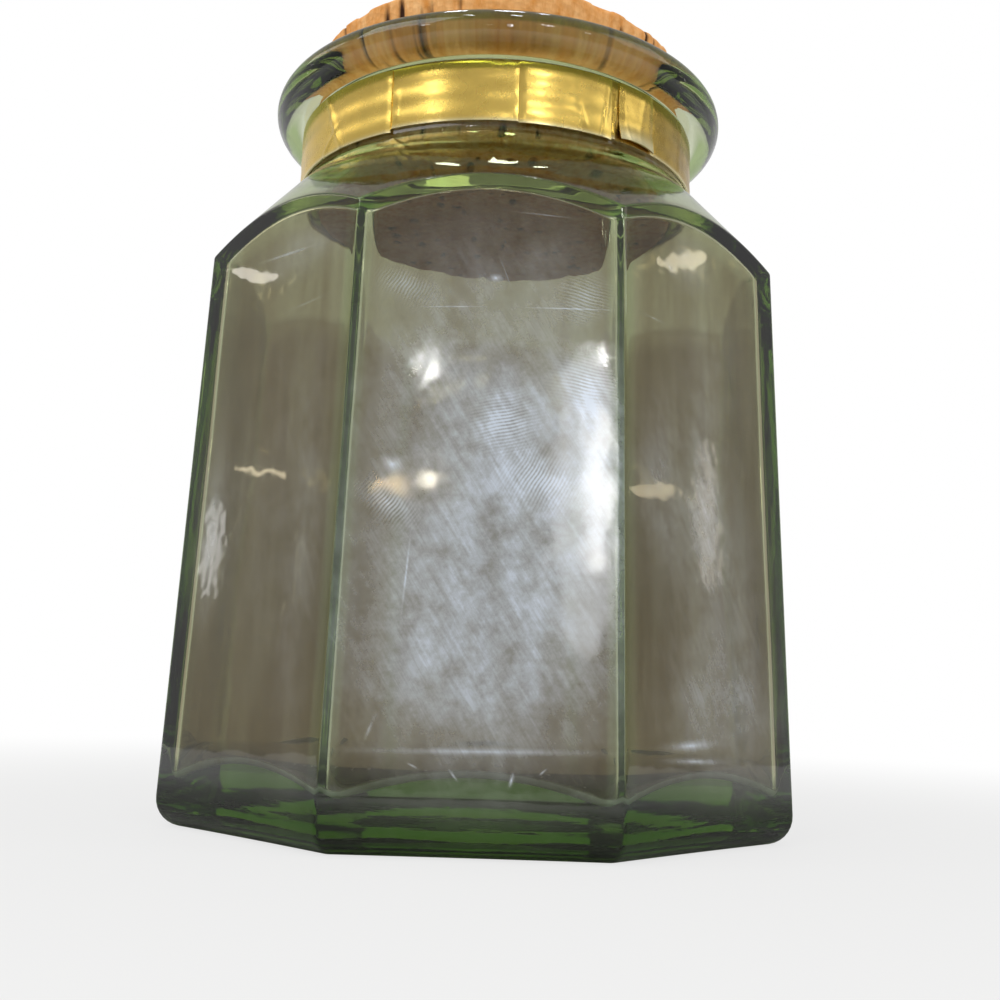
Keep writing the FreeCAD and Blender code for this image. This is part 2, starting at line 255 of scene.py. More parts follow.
def rounded_profile(corners, columns):
    """Sample a section with rounded corners, as rows of radius and height for every column.

    A corner is its name, radius, height, rounding, rows in the rounding and rows in the straight run up to
    it. Before a corner the line stops short by rounding times the tangent of half its turn, and from there
    an arc of that rounding swings from the old direction into the new one. Returns the rows and their names.
    """
    places = np.array([[np.broadcast_to(value, columns) for value in corner[1:3]] for corner in corners])
    places = places.transpose(0, 2, 1)
    end, rows, names = places[0], [], []
    for index, (name, _, _, rounding, arc_rows, run_rows) in enumerate(corners[1:], start=1):
        corner = places[index]
        before = unit(corner - end)
        after = unit(places[min(index + 1, len(corners) - 1)] - corner)
        along = np.sum(before * after, axis=-1, keepdims=True)
        inwards = unit(after - along * before)
        turn = np.arccos(np.clip(along, -1, 1)) if arc_rows else np.zeros_like(along)
        bend = np.broadcast_to(rounding, columns)[:, None]
        start = corner - before * bend * np.tan(turn / 2)
        run = np.linspace(0, 1, run_rows + 1)[1:, None, None]
        swing = np.linspace(0, 1, arc_rows + 1)[1:, None, None] * turn
        arc = start + bend * (np.sin(swing) * before + (1 - np.cos(swing)) * inwards)
        rows += [end + run * (start - end), arc]
        names += [name] * (run_rows + arc_rows)
        end = arc[-1] if arc_rows else start
    return np.concatenate(rows), np.array(names)


def octagon_radius(local, inradius, rounding):
    """Polar radius of a rounded octagon: inradius / cos a on a side, a from its middle.

    On a corner's circle, whose centre lies c from the axis, it is c cos p + sqrt(rounding^2 - c^2 sin^2 p),
    p from the corner.
    """
    from_corner = HALF_SIDE - np.abs(local)
    centre = (inradius - rounding) / math.cos(HALF_SIDE)
    across = rounding ** 2 - (centre * np.sin(from_corner)) ** 2
    on_circle = centre * np.cos(from_corner) + np.sqrt(np.maximum(across, 0))
    on_side = np.abs(local) < np.arctan((1 - rounding / inradius) * math.tan(HALF_SIDE))
    return np.where(on_side, inradius / np.cos(local), on_circle)


# Rounds after which the height of a meeting no longer changes.
SETTLING_ROUNDS = 8


def settle(height, radius_at, height_at):
    """Height where two surfaces meet, by repeating height = cone(panel(height)), as panels lean so little."""
    for _ in range(SETTLING_ROUNDS):
        height = height_at(radius_at(height))
    return height


def soft_noise(across, up, cells, rng, wrap=False):
    """Smooth noise from 0 to 1: random heights on a lattice, blended by 3t^2 - 2t^3 in both directions.

    Across and up run from 0 to 1. With wrap, the noise meets itself across.
    """
    count_across, count_up = cells
    lattice = rng.random((count_up + 2, count_across + 2))
    if wrap:
        lattice[:, count_across] = lattice[:, 0]
    column, row = np.clip(across, 0, 1) * count_across, np.clip(up, 0, 1) * count_up
    left, low = np.floor(column).astype(int), np.floor(row).astype(int)
    share_across, share_up = (share ** 2 * (3 - 2 * share) for share in (column - left, row - low))
    lower, upper = (lattice[level, left] * (1 - share_across) + lattice[level, left + 1] * share_across
                    for level in (low, low + 1))
    return lower * (1 - share_up) + upper * share_up


# Columns in half a side of the glass, and how strongly they crowd towards the ridges.
HALF_SIDE_COLUMNS = 26
RIDGE_CROWDING = 2.2
# Rows in the rounding between the panels and the floor.
FLOOR_LINE_ROWS = 7
# Slow waves of the inside: lobes round the jar, the rise in which one runs on by a radian, and its start.
WALL_WAVES = ((5, 9 * MM, 0), (11, -14 * MM, 1))
# A finer level wave that weaves up and down: its rise, its lobes, how far it weaves, and its share.
LEVEL_WAVE = (5 * MM, 3, 3, 0.5)
# How far apart the panels' own coordinates lie, so that no pattern runs on round a ridge.
PANEL_STEP = 0.5
INSIDE_STEP = -1.0

# Hazy film on the outside: side from the front, then across, height, half-width and half-height in
# millimetres, and how dense it is.
FILM_PATCHES = (
    (0, 2, 46, 21, 27, 0.95),
    (0, 7, 57, 11, 13, 0.4),
    (0, 14.5, 57, 4.5, 13, 0.4),
    (0, 0, 25, 19, 13, 0.6),
    (0, -8, 69, 9, 8, 0.3),
    (0, 2, 80, 15, 6, 0.25),
    (0, 0, 89, 20, 7, 0.16),
    (1, -12, 52, 6, 12, 0.45),
    (1, -1, 52, 4, 13, 0.45),
    (1, 4, 38, 13, 22, 0.35),
    (1, 2, 20, 15, 9, 0.5),
    (1, 0, 74, 13, 12, 0.2),
    (1, -3.5, 88.5, 4, 2.5, 0.6),
    (7, 2, 50, 14, 32, 0.2),
    (7, -12, 46, 3, 12, 0.5),
    (7, 6, 88, 9, 2.5, 0.5),
    (7, 13, 40, 5, 30, 0.25),
    (2, 0, 55, 13, 28, 0.25),
    (3, 4, 48, 12, 22, 0.3),
    (4, -3, 52, 14, 26, 0.35),
    (5, 2, 42, 13, 22, 0.3),
    (6, -4, 56, 12, 26, 0.25),
)
# Dust lies this densely on the inside floor, and a pale line lies along its edge.
FLOOR_FILM = 0.4
FLOOR_LINE_FILM = 1.6
# How far each stretch of the section takes the bloom colour where it isn't clean: partly bloom, glass gone
# dull with age, and partly painted shade standing in for dark surroundings seen through the glass.
BLOOM_AND_SHADE = {"panel": 1.0, "inner_panel": 1.0, "shoulder": 0.15, "inner_shoulder": 0.25, "neck": 0.4,
         "rim": 0.45, "floor": 0.3}
# Painted shade: how far each stretch takes the darker green of the edge colour, standing in for the green and
# the dark that thick glass shows edge-on and at its foot.
EDGE_SHADE = {"pushup": 0.8, "foot_ring": 0.8, "heel": 0.9, "floor": 0.4, "rim": 0.05}
# Painted shade: the upper half of the rim is painted darker than the lower.
RIM_TOP_SHADE = 1.0
# Along the ridges the glass is clean over this width, and painted shade gives it a darker green there.
RIDGE_MARGIN = 2.5 * MM
RIDGE_SHADE = 0.6
# The heel's painted green shade and its streaks run up the panels to these heights, and fade over this much.
HEEL_EDGE_TOP, HEEL_EDGE_FADE = 11.2 * MM, 7 * MM
STREAKS_TOP, STREAKS_FADE = 8 * MM, 4 * MM
# The foot is stippled up to this height.
STIPPLE_TOP = 0.3 * MM


def glass_section(sizes, local):
    """The glass's section at each column: under the foot, up the outside, over the rim, down the inside.

    A panel is an octagon's side that draws in by its height times the lean. The shoulder and the floor's edge
    are cones, height = start - radius times slope, and the hollow under the foot is part of a sphere.
    """
    lean, slope = math.tan(sizes.panel_draft), math.tan(sizes.shoulder_pitch)
    half_flats = sizes.base_flats / 2
    ridge = (half_flats - sizes.shoulder_height * lean) / math.cos(HALF_SIDE)
    neck = sizes.mouth_radius + sizes.neck_wall
    neck_base = sizes.shoulder_height + (ridge - neck) * slope
    rim, rim_bottom = neck + sizes.rim_reach, GLASS_TOP - 2 * sizes.rim_bead
    taper = math.tan(sizes.bore_taper)
    cone_top = sizes.shoulder_height + ridge * slope - sizes.wall / math.cos(sizes.shoulder_pitch)
    bore_start = (sizes.mouth_radius - (GLASS_TOP - cone_top) * taper) / (1 + slope * taper)
    pushup = half_flats - sizes.foot_ring
    sphere = (pushup ** 2 + sizes.pushup_depth ** 2) / (2 * sizes.pushup_depth)
    floor_edge = half_flats - sizes.wall - sizes.floor_margin
    floor_edge_height = sizes.floor_crown - sizes.floor_fall
    floor_slope = math.tan(sizes.floor_edge_pitch)

    def outside(height):
        return octagon_radius(local, half_flats - height * lean, sizes.ridge_round)

    def inside(height):
        return octagon_radius(local, half_flats - sizes.wall - height * lean, sizes.inner_round)

    arch = settle(sizes.shoulder_height, outside,
                  lambda radius: sizes.shoulder_height + (ridge - radius) * slope)
    inner_arch = settle(sizes.shoulder_height, inside, lambda radius: cone_top - radius * slope)
    floor_line = settle(floor_edge_height, inside,
                        lambda radius: floor_edge_height - (radius - floor_edge) * floor_slope)
    return rounded_profile((
        ("pole", 0, sizes.pushup_depth, 0, 0, 0),
        ("pushup", sphere * math.tan(math.asin(pushup / sphere) / 2), sizes.pushup_depth, sphere, 8, 0),
        ("foot_ring", pushup, 0, 0, 0, 0),
        ("heel", outside(0), 0, sizes.heel_round, 8, 5),
        ("panel", outside(arch), arch, sizes.arch_round, 6, 26),
        ("shoulder", neck, neck_base, sizes.neck_round, 6, 9),
        ("neck", neck, rim_bottom, sizes.rim_root, 4, 4),
        ("rim", rim, rim_bottom, sizes.rim_bead, 10, 2),
        ("rim", rim, GLASS_TOP, sizes.rim_bead, 10, 0),
        ("mouth", sizes.mouth_radius, GLASS_TOP, sizes.mouth_round, 6, 3),
        ("bore", bore_start, cone_top - bore_start * slope, sizes.throat_round, 6, 6),
        ("inner_shoulder", inside(inner_arch), inner_arch, sizes.inner_arch_round, 8, 9),
        ("inner_panel", inside(floor_line), floor_line, sizes.floor_round, FLOOR_LINE_ROWS, 26),
        ("floor", floor_edge, floor_edge_height, sizes.floor_round, 6, 2),
        ("floor", 0, sizes.floor_crown, 0, 0, 8),
    ), len(local))


def build_glass(sizes):
    """The closed skin of the glass: its section carried round over columns that crowd at the ridges.

    The inside strays by waviness times half the sum of the wall's waves, sin(lobes a + h / rise + start), and
    a share of the level wave, sin(h / rise + weave cos(lobes a)).
    """
    half = HALF_SIDE * (1 - np.linspace(1, 0, HALF_SIDE_COLUMNS, endpoint=False) ** RIDGE_CROWDING)
    # From one ridge to the next: crowded at both ends, and the far ridge is the next side's first column.
    local = np.tile(np.concatenate(([-HALF_SIDE], -half[:0:-1], half)), SIDES)
    side = np.repeat(np.arange(SIDES), len(local) // SIDES)
    azimuths = FRONT + 2 * HALF_SIDE * side + local
    profile, names = glass_section(sizes, local)
    # The last row is the floor's pole.
    profile, names = profile[:-1], names[:-1]
    heights = profile[..., 1]
    inner = np.isin(names, ("inner_shoulder", "inner_panel"))[:, None]
    wave = sum(np.sin(azimuths * lobes + heights / rise + start) for lobes, rise, start in WALL_WAVES)
    rise, lobes, weave, share = LEVEL_WAVE
    wave += np.sin(heights / rise + weave * np.cos(azimuths * lobes)) * share
    profile[..., 0] += np.where(inner, sizes.waviness * wave / len(WALL_WAVES), 0)
    names[np.flatnonzero(names == "inner_panel")[-FLOOR_LINE_ROWS:]] = "floor_line"
    points = turn_profile(profile, azimuths)
    poles = np.array([[0, 0, sizes.pushup_depth], [0, 0, sizes.floor_crown]])

    across = profile[..., 0] * np.sin(local)
    outside = np.isin(names, ("heel", "panel"))[:, None]
    on_panel, on_floor, on_heel, on_rim = (
        (names == name)[:, None] for name in ("panel", "floor", "heel", "rim"))
    film = np.zeros_like(across)
    for panel, middle, height, half_width, half_height, density in FILM_PATCHES:
        reach = ((across / MM - middle) / half_width) ** 2 + ((heights / MM - height) / half_height) ** 2
        film += np.where(side == panel, density * np.exp(-reach), 0)
    film = np.where(outside, np.minimum(film, 1), np.where(on_floor, FLOOR_FILM, 0))
    film[names == "floor_line"] = FLOOR_LINE_FILM
    bloom_and_shade, edge = (np.array([[table.get(name, 0.0)] for name in names]) + 0 * across
                   for table in (BLOOM_AND_SHADE, EDGE_SHADE))
    from_ridge = np.clip(profile[..., 0] * (HALF_SIDE - np.abs(local)) / RIDGE_MARGIN, 0, 1) ** 2
    bloom_and_shade *= np.where(on_panel, from_ridge, 1)
    # Painted shade: a darker green along the ridges and rising from the heel.
    heel_shade = np.clip((HEEL_EDGE_TOP - heights) / HEEL_EDGE_FADE, 0, EDGE_SHADE["heel"])
    edge += np.where(on_panel, np.maximum(RIDGE_SHADE * (1 - from_ridge), heel_shade), 0)
    # Painted shade on the upper half of the rim.
    edge = np.where(on_rim & (heights > GLASS_TOP - sizes.rim_bead), RIM_TOP_SHADE, edge)
    foot = np.where(outside, np.clip((STREAKS_TOP - heights) / STREAKS_FADE, 0, 1), 0)
    panel = np.stack((across, np.where(outside, side * PANEL_STEP, INSIDE_STEP), heights), axis=-1)
    panel = np.where(on_floor[..., None], points[..., [0, 2, 1]] + (0, INSIDE_STEP, 0), panel)

    piece = place_piece("pressed_glass_jar", np.concatenate((points.reshape(-1, 3), poles)),
                        turned_faces(*across.shape), glass_material(sizes))
    # What the material reads, over the grid and at the poles under and over it.
    for name, values, at_poles in (
            ("film", film, (0, 0)),
            ("bloom_and_shade", bloom_and_shade, (0, BLOOM_AND_SHADE["floor"])),
            ("edge", edge, (EDGE_SHADE["pushup"], EDGE_SHADE["floor"])),
            ("foot", foot, (0, 0)),
            ("dust", np.broadcast_to(on_floor, film.shape), (0, 1)),
            ("stipple", on_heel & (heights < STIPPLE_TOP), (0, 0))):
        give_attribute(piece, name, np.append(values, at_poles))
    give_attribute(piece, "panel", np.concatenate((panel.reshape(-1, 3), poles)))
    return piece


# Columns of the cork, its pores, and the draws that place them.
CORK_COLUMNS = 420
SIDE_PORES, END_PORES = 150, 80
CORK_SEED = 11
# Half-widths and half-lengths of the pores in millimetres, shares of the full depth, and lean.
SIDE_PORE_WIDTHS, SIDE_PORE_LENGTHS = (0.25, 0.6), (0.8, 4.5)
END_PORE_WIDTHS, END_PORE_LENGTHS = (0.3, 0.8), (0.4, 1.8)
PORE_DEPTHS = (0.35, 1)
PORE_LEAN = 0.06
# Chips of the upper edge: how many broad and fine ones go round and how much each weighs, the level under
# which the edge is whole, the side that is most worn and by how much, and the steps in which chips break.
BROAD_CHIPS, FINE_CHIPS = 13, 47
BROAD_SHARE, FINE_SHARE, WHOLE_LEVEL = 1.6, 0.5, 0.75
WORN_AZIMUTH, WORN_SHARE = math.radians(60), 0.25
CHIP_STEPS = 4
# Crumbs round the cork and from end to end, and their depth.
CRUMBS, CRUMB_DEPTH = (140, 40), 0.12 * MM
# Painted light: inside the neck the side is painted paler too, up to this height, fading over this much.
NECK_LIGHT_HEIGHT, NECK_LIGHT_FADE = 19 * MM, 4 * MM
NECK_LIGHT_SHARE = 0.8


def build_cork(sizes):
    """The cork: a taper with worn ends, its upper edge chipped unevenly, pitted by pores along its grain.

    A pore is a dent, depth times exp(-(across / half-width)^2 - (along / half-length)^2).
    """
    rng = np.random.default_rng(CORK_SEED)
    around = np.arange(CORK_COLUMNS) / CORK_COLUMNS
    azimuths = FRONT + 2 * math.pi * around
    height = CORK_HIGH.z - CORK_LOW.z
    bottom = CORK_HIGH.x - height * math.tan(sizes.taper) + sizes.top_round * math.tan(sizes.taper)
    top = bottom + height * math.tan(sizes.taper)
    broad, fine = (soft_noise(around, 0 * around, (count, 1), rng, wrap=True)
                   for count in (BROAD_CHIPS, FINE_CHIPS))
    worn = 1 - WORN_SHARE + WORN_SHARE * np.cos(azimuths - FRONT - WORN_AZIMUTH)
    chipped = np.clip(BROAD_SHARE * broad * worn + FINE_SHARE * fine - WHOLE_LEVEL, 0, 1)
    chipped = (chipped + np.round(chipped * CHIP_STEPS) / CHIP_STEPS) / 2
    top_round = sizes.top_round + (sizes.chip_round - sizes.top_round) * chipped
    profile, names = rounded_profile((
        ("pole", 0, CORK_LOW.z, 0, 0, 0),
        ("bottom", bottom, CORK_LOW.z, sizes.bottom_round, 4, 34),
        ("side", top, CORK_HIGH.z, top_round, 10, 60),
        ("top", 0, CORK_HIGH.z, 0, 0, 34),
    ), CORK_COLUMNS)
    profile, names = profile[:-1], names[:-1]
    points = turn_profile(profile, azimuths)
    is_side, is_bottom, is_top = ((names == name)[:, None] for name in ("side", "bottom", "top"))
    girth = 2 * math.pi * bottom
    pit = np.zeros(profile.shape[:2])
    # On the side the pores are narrow and upright.
    for _ in range(SIDE_PORES):
        centre, level = rng.random() * girth, CORK_LOW.z + rng.random() * height
        half_width, half_length = rng.uniform(*SIDE_PORE_WIDTHS) * MM, rng.uniform(*SIDE_PORE_LENGTHS) * MM
        lean = rng.normal() * PORE_LEAN
        up = profile[..., 1] - level
        across = (around * girth - centre - lean * up + girth / 2) % girth - girth / 2
        dent = rng.uniform(*PORE_DEPTHS) * np.exp(-(across / half_width) ** 2 - (up / half_length) ** 2)
        pit = np.maximum(pit, np.where(is_side, dent, 0))
    # On the ends they are round or oval.
    for _ in range(END_PORES):
        reach, turn = bottom * math.sqrt(rng.random()), rng.random() * 2 * math.pi
        half_width, half_length = rng.uniform(*END_PORE_WIDTHS) * MM, rng.uniform(*END_PORE_LENGTHS) * MM
        across = points[..., 0] - reach * math.cos(turn)
        along = points[..., 1] - reach * math.sin(turn)
        dent = rng.uniform(*PORE_DEPTHS) * np.exp(-(across / half_width) ** 2 - (along / half_length) ** 2)
        pit = np.maximum(pit, np.where(is_side, 0, dent))
    crumbs = soft_noise(np.broadcast_to(around, pit.shape), np.linspace(0, 1, len(pit))[:, None] + 0 * pit,
                        CRUMBS, rng, wrap=True)
    sunk = sizes.pit_depth * pit + CRUMB_DEPTH * crumbs
    points[..., :2] *= np.where(is_side, 1 - sunk / bottom, 1)[..., None]
    points[..., 2] += (is_bottom * 1 - is_top * 1) * sunk
    poles = np.array([[0, 0, CORK_LOW.z], [0, 0, CORK_HIGH.z]])
    piece = place_piece("natural_cork", np.concatenate((points.reshape(-1, 3), poles)),
                        turned_faces(*pit.shape), cork_material(sizes))
    # Painted light: paler on the lower end and on the side inside the neck.
    neck_painted_light = np.clip((CORK_LOW.z + NECK_LIGHT_HEIGHT - profile[..., 1]) / NECK_LIGHT_FADE, 0, 1)
    under = np.where(is_bottom, 1, np.where(is_side, NECK_LIGHT_SHARE * neck_painted_light, 0))
    give_attribute(piece, "pore", np.append(pit, (0, 0)))
    give_attribute(piece, "cork_painted_light", np.append(under, (1, 0)))
    return piece


# Foil strips: node, layer, start and finish in degrees from the front, painted shade, which is darker on the
# strips to the right, seed of the wrinkles, laps that lie under another strip, in degrees, and creases. A
# crease is its angle at the lower edge, how far it leans over the strip's height, its half-width, all in
# degrees, its height in millimetres, and the shares of the strip's height where it starts and ends.
STRIPS = (
    ("foil_strip_left", 1, -165.5, -28.2, 0.0, 3, (), (
        (-45.6, -7.7, 0.9, 0.2, 0, 1), (-54.5, 17.5, 1.0, 0.14, 0, 0.4), (-88, 5, 1.5, 0.08, 0, 1),
        (-120, 6, 1.5, 0.1, 0, 1))),
    ("foil_strip_front_left", 0, -33, 7.5, 0.12, 5, ((-33, -28.2), (5.8, 7.5)), (
        (-26.8, 1, 0.5, 0.12, 0.15, 0.6),)),
    ("foil_strip_front_right", 1, 5.8, 31.5, 0.18, 7, (), (
        (24, -5, 0.7, 0.12, 0.1, 0.5), (28.6, 2.4, 0.5, 0.12, 0, 1))),
    ("foil_strip_right", 0, 29.5, 200, 0.75, 9, ((29.5, 31.5), (34, 46.8), (194.5, 200)), (
        (32.2, 1.4, 0.4, 0.2, 0, 1), (62, 2, 1.5, 0.07, 0, 1), (140, -8, 2, 0.08, 0, 1))),
    ("foil_patch", 1, 34, 46.8, 0.45, 13, (), ((36.5, -1, 0.6, 0.06, 0, 1), (40.5, 3, 0.8, 0.06, 0, 1))),
)
# Points along a degree of a strip, and across its height.
POINTS_PER_DEGREE = 2
STRIP_ROWS = 30
# Rolls over a strip's height, and a wrinkle's width in degrees and wrinkles over the height.
ROLLS = 3
WRINKLE_DEGREES, WRINKLE_ROWS = 7, 4
# A crease fades over this share of the height at each of its ends.
CREASE_FADE = 0.12
# The patch's loose edge: how sharply it curls, and where along it and by how much it bulges.
CURL, BULGE_PLACE, BULGE_SHARE = 1.5, 0.35, 0.45
# A strip is pressed to this share of its thickness at its ends, over this many degrees.
END_THICKNESS, END_DEGREES = 0.35, 1.5
SHARP_FOLD = math.radians(50)


def build_strip(sizes, glass, strip):
    """A foil strip carried round the neck: radius = its layer's plus rolls, wrinkles and creases.

    The rolls are (1 - cos(2 pi rolls v)) / 2 over the height v, and a crease is
    exp(-(distance / half-width)^2).
    """
    node, layer, start, finish, painted_shade, seed, laps, creases = strip
    low, high = (corner.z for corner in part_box(node))
    rng = np.random.default_rng(seed)
    columns = int((finish - start) * POINTS_PER_DEGREE) + 1
    degrees, up = np.meshgrid(np.linspace(start, finish, columns), np.linspace(0, 1, STRIP_ROWS))
    along = (degrees - start) / (finish - start)
    relief = sizes.roll_height * (1 - np.cos(2 * math.pi * ROLLS * up)) / 2
    wrinkles = max(2, int((finish - start) / WRINKLE_DEGREES)), WRINKLE_ROWS
    relief += sizes.wrinkle * soft_noise(along, up, wrinkles, rng)
    for crease, lean, half_width, crest, first, last in creases:
        begun, ending = (np.clip(past / CREASE_FADE + 0.5, 0, 1) for past in (up - first, last - up))
        relief += begun * ending * crest * MM * np.exp(-((degrees - crease - lean * up) / half_width) ** 2)
    for first, last in laps:
        relief *= np.clip(np.maximum(first - degrees, degrees - last), 0, 1)
    lift = np.zeros_like(up)
    if node == "foil_patch":
        # Below its crease the patch has come away, and bulges most towards its left corner.
        loose = np.clip(1 - up * (high - low) / sizes.lift_height, 0, 1)
        bulge = 1 - BULGE_SHARE + BULGE_SHARE * np.cos(math.pi * (along - BULGE_PLACE))
        lift = sizes.lift_reach * loose ** CURL * bulge
    inside = glass.mouth_radius + glass.neck_wall + sizes.glue + layer * sizes.layer + lift
    from_end = np.clip(np.minimum(degrees - start, finish - degrees) / END_DEGREES, 0, 1)
    thickness = sizes.thickness * (END_THICKNESS + (1 - END_THICKNESS) * from_end)
    radius = np.concatenate((inside + relief + thickness, inside[::-1]))
    rise = np.concatenate((up, up[::-1])) * (high - low)
    points = turn_profile(np.stack((radius, low + rise), axis=-1), FRONT + np.radians(degrees[0]))
    rows = len(radius)
    lower, upper = np.arange(STRIP_ROWS - 1), np.arange(1, STRIP_ROWS)
    cap = np.stack((lower, upper, rows - 1 - upper, rows - 1 - lower), axis=-1) * columns
    piece = place_piece("gold_" + node, points.reshape(-1, 3), [
        grid_quads(rows, columns, wrap_rows=True), cap, cap[:, ::-1] + columns - 1], foil_material(sizes))
    piece.data.set_sharp_from_angle(angle=SHARP_FOLD)
    # On the lifted patch the pale band is a painted highlight over the loose edge; on the other strips it is
    # the pale cut edge.
    pale = sizes.lift_height / 2 if lift.any() else sizes.cut_edge
    give_attribute(piece, "lower_edge", np.exp(-(rise / pale) ** 2).ravel())
    give_attribute(piece, "painted_shade", np.full(radius.size, painted_shade))
    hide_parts(node)
    return piece


def add_node(tree, kind, inputs=(), **settings):
    """Add a shader node, set its settings, and set or link its inputs, given by name or in order.

    An input that is given a node takes that node's first output in use.
    """
    node = tree.nodes.new("ShaderNode" + kind)
    for name, value in settings.items():
        setattr(node, name, value)
    for socket, value in inputs.items() if isinstance(inputs, dict) else enumerate(inputs):
        if isinstance(value, bpy.types.Node):
            value = next(output for output in value.outputs if output.enabled)
        if isinstance(value, bpy.types.NodeSocket):
            tree.links.new(value, node.inputs[socket])
        else:
            node.inputs[socket].default_value = value
    return node


def empty_material(name):
    """A material of this name with no nodes in it, and the call that adds a node to it."""
    material = bpy.data.materials.get(name) or bpy.data.materials.new(name)
    material.use_nodes = True
    material.node_tree.nodes.clear()
    return material, partial(add_node, material.node_tree)


# Inputs of the Mix node when it mixes colours.
MIX_FACTOR, MIX_A, MIX_B = 0, 6, 7

# Marks on the panels: side, across and height in millimetres, half-length and half-width in millimetres,
# turn in degrees, and strength. The long ones are scratches, the short wide ones smears and residue.
MARKS = (
    (0, 8, 91.2, 7, 0.22, 5, 0.5),
    (0, 12, 77, 9, 0.2, 0, 0.8),
    (0, -5, 76.8, 8, 0.16, -2, 0.5),
    (7, 9, 79.2, 10, 0.2, -4, 0.5),
    (1, -13, 77.5, 5, 0.18, 4, 0.6),
    (1, -6, 15.6, 10, 1.3, -2, 0.9),
    (1, -5, 13.4, 11, 0.8, 2, 0.8),
    (1, -8.5, 86.5, 3, 1.6, 35, 0.5),
    (7, 2, 88.4, 12, 0.5, 2, 0.5),
    (0, -12.5, 53.5, 2.8, 2, 10, 0.7),
    (0, 15, 63, 3, 6, 0, 0.55),
    (0, -14, 17, 0.5, 3, 20, 0.4),
    (0, 1, 14.4, 26, 0.8, -1, 0.55),
    (0, 5.3, 10.8, 0.5, 1.8, 15, 0.9),
    (0, -2.5, 11.2, 1.6, 0.3, 50, 0.7),
    (0, 9.5, 12, 1.2, 0.3, -40, 0.7),
    (0, -8, 12.3, 1.4, 0.3, 25, 0.6),
    (0, 1, 81.3, 1.4, 0.9, 0, 0.8),
    (0, 2.5, 82, 0.16, 5, -22, 0.35),
    (0, -10, 38, 0.3, 8, 4, 0.5),
)
# Fingerprints, in the same order: their half-length is across the skin's ridges, their half-width along them.
FINGERPRINTS = (
    (0, -12, 80, 8, 4, 25, 0.5),
    (0, 14, 79, 6, 6, 105, 0.6),
    (0, -13, 48, 7, 4, 35, 0.6),
    (0, 3, 60, 7, 7, 75, 0.5),
    (0, 8, 52, 9, 7, 28, 0.5),
    (0, 14, 66, 6, 7, 100, 0.5),
)
# Skin ridges lie 0.48 mm apart, and a wave of the texture is 2 pi / 20 of its scale long.
SKIN_RIDGE = 0.48 * MM
WAVE_LENGTH = 2 * math.pi / 20
# How high the streaks round the foot stand against the ripple.
STREAK_HEIGHT = 1.4


